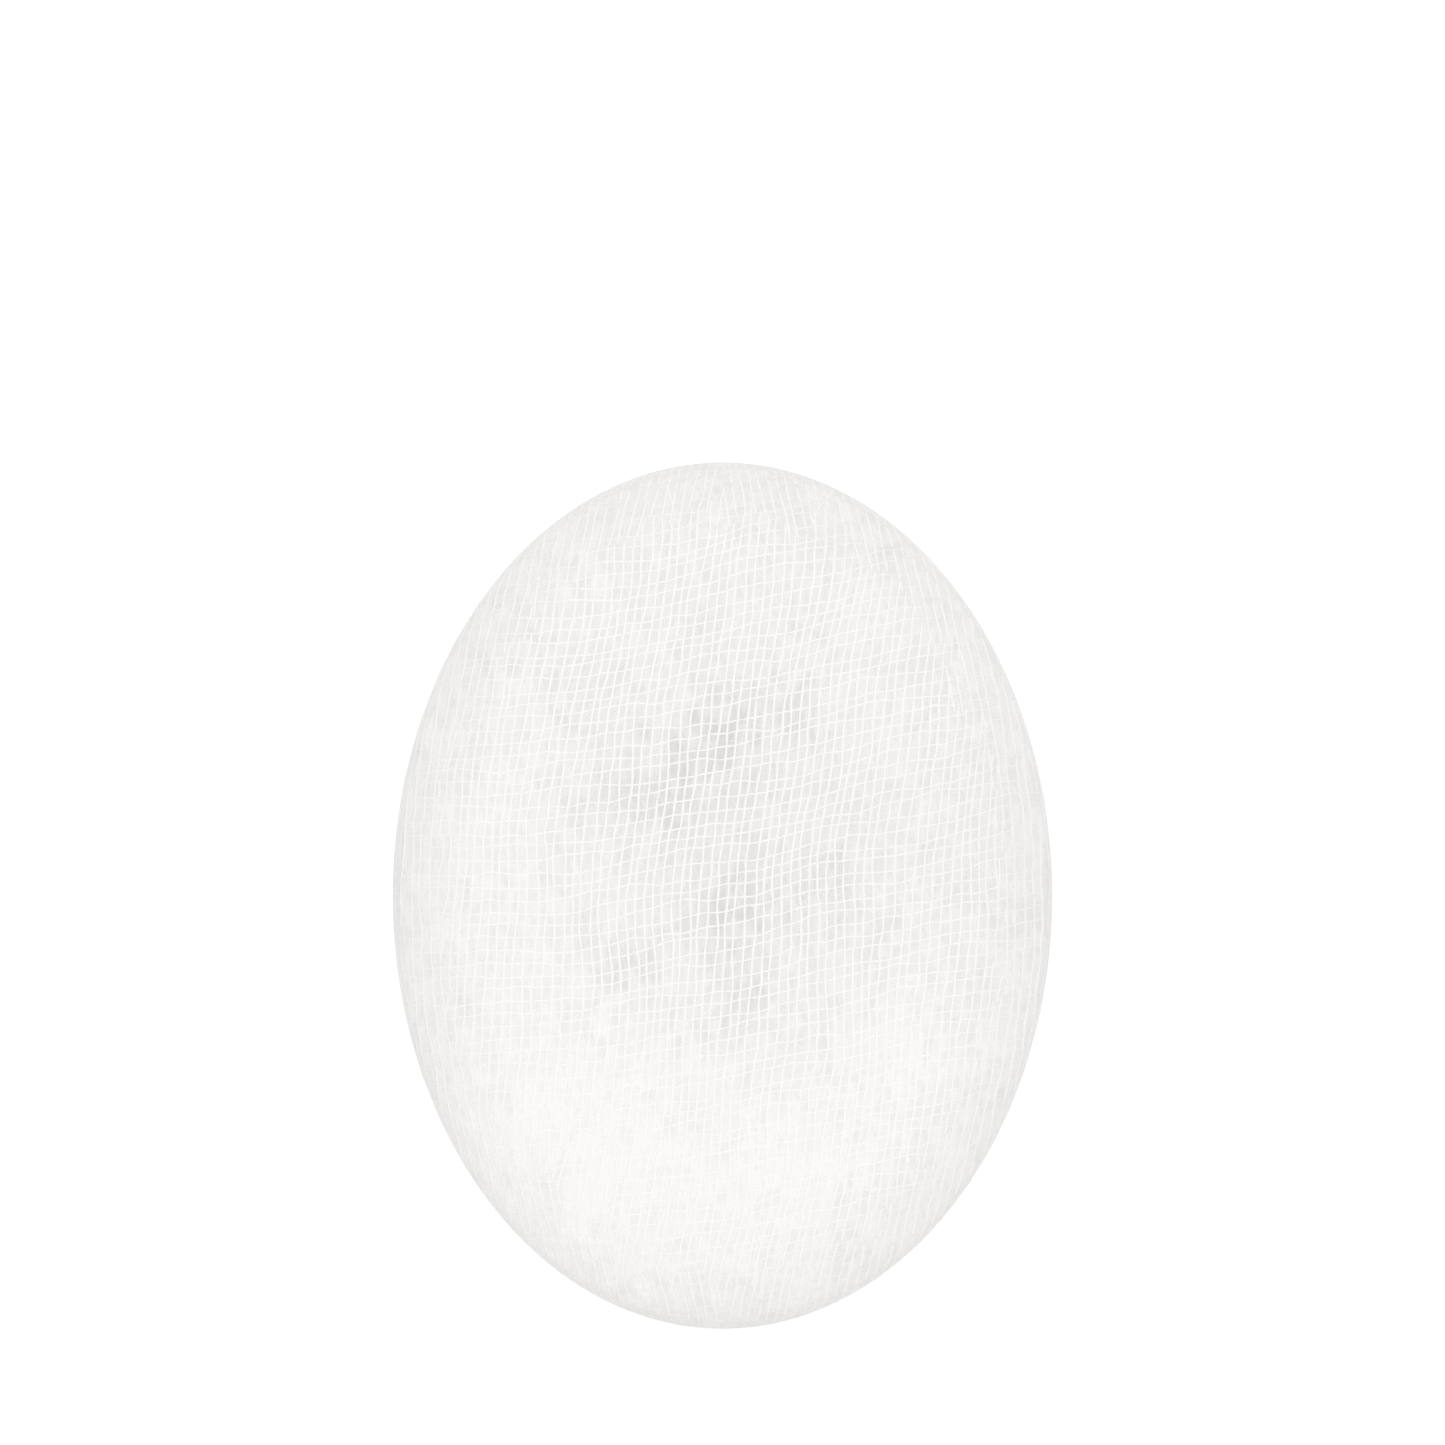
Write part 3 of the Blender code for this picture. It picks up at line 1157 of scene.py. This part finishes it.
def tubes(paths: list[Path], corners: int) -> bmesh.types.BMesh:
    """Make one mesh of many round threads with closed ends.

    Args:
        paths: The threads.
        corners: How many corners a thread's cross-section has.

    Returns:
        The mesh, which its user finishes.
    """
    ring = bpy.data.curves.new("thread_section", "CURVE")
    outline = ring.splines.new("POLY")
    outline.points.add(corners - 1)
    outline.use_cyclic_u = True
    for corner, point in enumerate(outline.points):
        angle = 2 * math.pi * corner / corners
        point.co = (math.cos(angle), math.sin(angle), 0.0, 1.0)
    section = bpy.data.objects.new("thread_section", ring)
    lines = bpy.data.curves.new("thread_lines", "CURVE")
    lines.dimensions = "3D"
    lines.bevel_mode = "OBJECT"
    lines.bevel_object = section
    lines.use_fill_caps = True
    for path in paths:
        spline = lines.splines.new("POLY")
        spline.points.add(len(path) - 1)
        spline.points.foreach_set("co", [value for point, _ in path for value in (*point, 1.0)])
        spline.points.foreach_set("radius", [radius for _, radius in path])
    drawn = bpy.data.objects.new("thread_lines", lines)
    for thing in (section, drawn):
        bpy.context.scene.collection.objects.link(thing)
    seen = drawn.evaluated_get(bpy.context.evaluated_depsgraph_get())
    swept = bpy.data.meshes.new_from_object(seen)
    mesh = bmesh.new()
    mesh.from_mesh(swept)
    bmesh.ops.remove_doubles(mesh, verts=mesh.verts, dist=SAME_PLACE)
    for thing in (section, drawn):
        bpy.data.objects.remove(thing)
    bpy.data.meshes.remove(swept)
    return mesh


def finished(name: str, mesh: bmesh.types.BMesh, finish: bpy.types.Material) -> bpy.types.Object:
    """Make an object of a mesh, with its faces outward and shaded smooth.

    Args:
        name: The name of the piece.
        mesh: Its mesh, which is freed.
        finish: Its material.

    Returns:
        The finished piece, in the scene.
    """
    bmesh.ops.recalc_face_normals(mesh, faces=mesh.faces)
    data = bpy.data.meshes.new(name)
    mesh.to_mesh(data)
    mesh.free()
    data.shade_smooth()
    data.materials.clear()
    data.materials.append(finish)
    thing = bpy.data.objects.new(name, data)
    bpy.context.scene.collection.objects.link(thing)
    return thing


@dataclass
class Studio:
    """The white sweep, the soft light and the camera straight above the pad."""

    form: PadForm
    floor_finish: WhiteFloor = field(default_factory=WhiteFloor)
    floor_side: float = 4.0
    floor_squares: int = 4  # to a side
    sky: float = 0.907  # the light from all round
    backdrop: float = 1.0  # how white the room looks beyond the floor
    lamp_place: tuple[float, float, float] = (0.1, 0.6, 1.5)
    lamp_side: float = 1.6
    lamp_power: float = 4.0
    camera_height: float = 1.0
    camera_range: tuple[float, float] = (0.01, 10.0)
    sensor: float = 36.0
    frame_width: float = 111.7 * MM  # what the photograph takes in at the level of the cut edge
    aim_along: float = 13.37 * MM  # the middle of the photograph, above the pad's own middle

    def build_floor(self) -> None:
        """Make the white floor that the pad lies on."""
        mesh = bmesh.new()
        squares, size = self.floor_squares, self.floor_side / 2
        bmesh.ops.create_grid(mesh, x_segments=squares, y_segments=squares, size=size)
        floor = finished("studio_floor", mesh, self.floor_finish.material())

    def build_light(self) -> None:
        """Light the pad evenly from all round, and a little more from beyond its top."""
        world = bpy.data.worlds.new("soft_white_room")
        bpy.context.scene.world = world
        world.use_nodes = True
        tree = world.node_tree
        tree.nodes.clear()
        white = (1.0, 1.0, 1.0, 1.0)
        room, backdrop = (
            add_node(tree, "ShaderNodeBackground", values={"Color": white, "Strength": strength})
            for strength in (self.sky, self.backdrop)
        )
        chosen = add_node(
            tree, "ShaderNodeMixShader",
            {0: seen_directly(tree), 1: room.outputs[0], 2: backdrop.outputs[0]},
        )
        add_node(tree, "ShaderNodeOutputWorld", {"Surface": chosen.outputs["Shader"]})
        lamp = bpy.data.lights.new("soft_box", "AREA")
        lamp.size = self.lamp_side
        lamp.energy = self.lamp_power
        box = bpy.data.objects.new("soft_box", lamp)
        box.location = self.lamp_place
        box.rotation_mode = "QUATERNION"
        box.rotation_quaternion = (-Vector(self.lamp_place)).to_track_quat("-Z", "Y")
        bpy.context.scene.collection.objects.link(box)

    def build_camera(self) -> None:
        """Hang the camera where the photograph was taken from."""
        lens = bpy.data.cameras.new("camera")
        lens.sensor_width = self.sensor
        lens.lens = self.sensor * (self.camera_height - self.form.edge_level) / self.frame_width
        lens.clip_start, lens.clip_end = self.camera_range
        camera = bpy.data.objects.new("camera", lens)
        camera.location = (0.0, self.aim_along, self.camera_height)
        bpy.context.scene.collection.objects.link(camera)
        bpy.context.scene.camera = camera
        bpy.context.scene.view_settings.view_transform = "Standard"


def report(piece: bpy.types.Object) -> None:
    """Log the size of one finished piece."""
    triangles = sum(len(face.vertices) - 2 for face in piece.data.polygons)
    LOG.info("%s: %d triangles", piece.name, triangles)


def main() -> None:
    """Build the pad from the inside out, and then the studio around it."""
    logging.basicConfig(level=logging.INFO, format="%(message)s")
    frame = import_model()
    LOG.info("loaded %d nodes", len(frame["nodes"]))

    form = PadForm()
    filling = CottonFilling(form, CottonWool())
    wool = filling.build()
    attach(wool, "root")
    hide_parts("cotton_wool")
    report(wool)

    drape = Drape(form, filling.surface)
    yarn = CottonYarn()
    woven = yarn.material()
    for side, shift in NOISE_SHIFTS.items():
        node = f"{side.name.lower()}_gauze"
        gauze = GauzeFace(side, Weave(shift=shift), drape, yarn, woven).build()
        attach(gauze, "root")
        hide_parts(node)
        report(gauze)

    fibres = LooseFibres(drape, woven).build()
    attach(fibres, "root")
    report(fibres)

    studio = Studio(form)
    studio.build_floor()
    studio.build_light()
    studio.build_camera()


if __name__ == "__main__":
    main()
